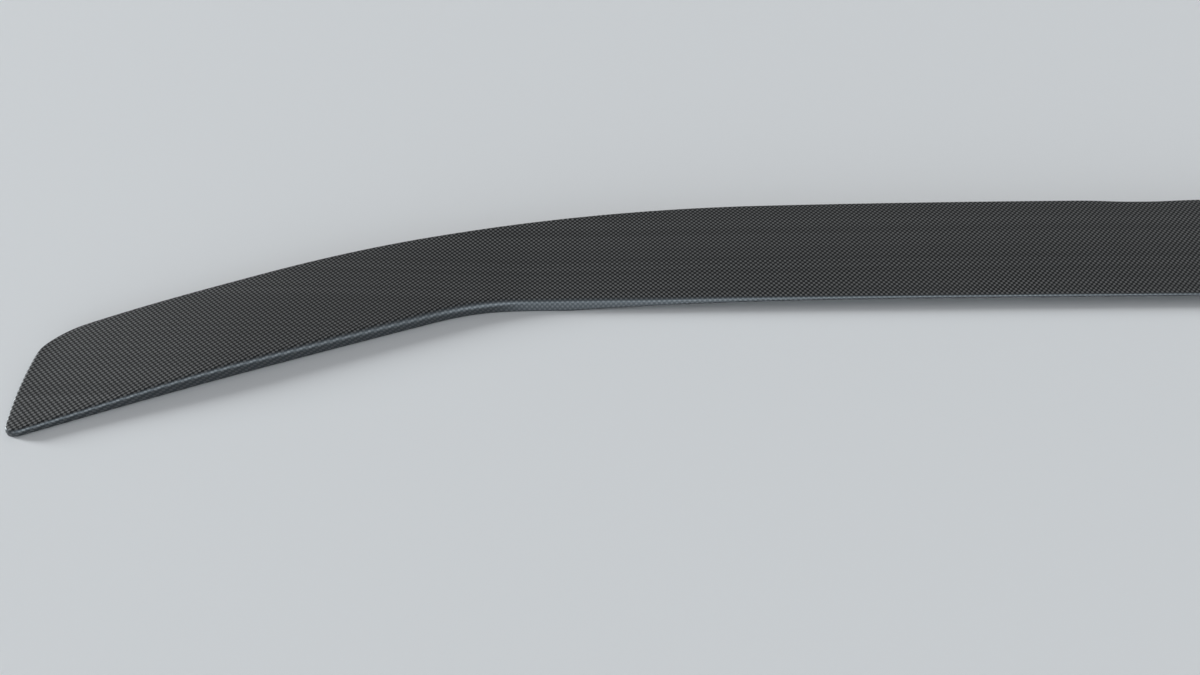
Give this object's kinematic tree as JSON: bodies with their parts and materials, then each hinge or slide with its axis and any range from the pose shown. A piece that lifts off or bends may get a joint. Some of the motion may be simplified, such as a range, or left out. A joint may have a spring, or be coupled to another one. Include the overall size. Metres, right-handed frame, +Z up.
{
  "type": "car boot lid spoiler",
  "caption": "Low swept spoiler blade of woven carbon cloth, bonded across a boot lid to raise its trailing edge.",
  "frame": {"origin": "centre of the bounding box seen from above, on the plane that the two level heels of the bonding land stand on", "axes": "+X across the car to its right, +Y towards the back of the car, +Z up"},
  "size_m": [1.501, 0.216, 0.035],
  "materials": {
    "carbon_cloth": "satin clear coat over dark grey plain-weave carbon cloth"
  },
  "bodies": {
    "root": {"spoiler": "carbon_cloth"}
  },
  "joints": []
}
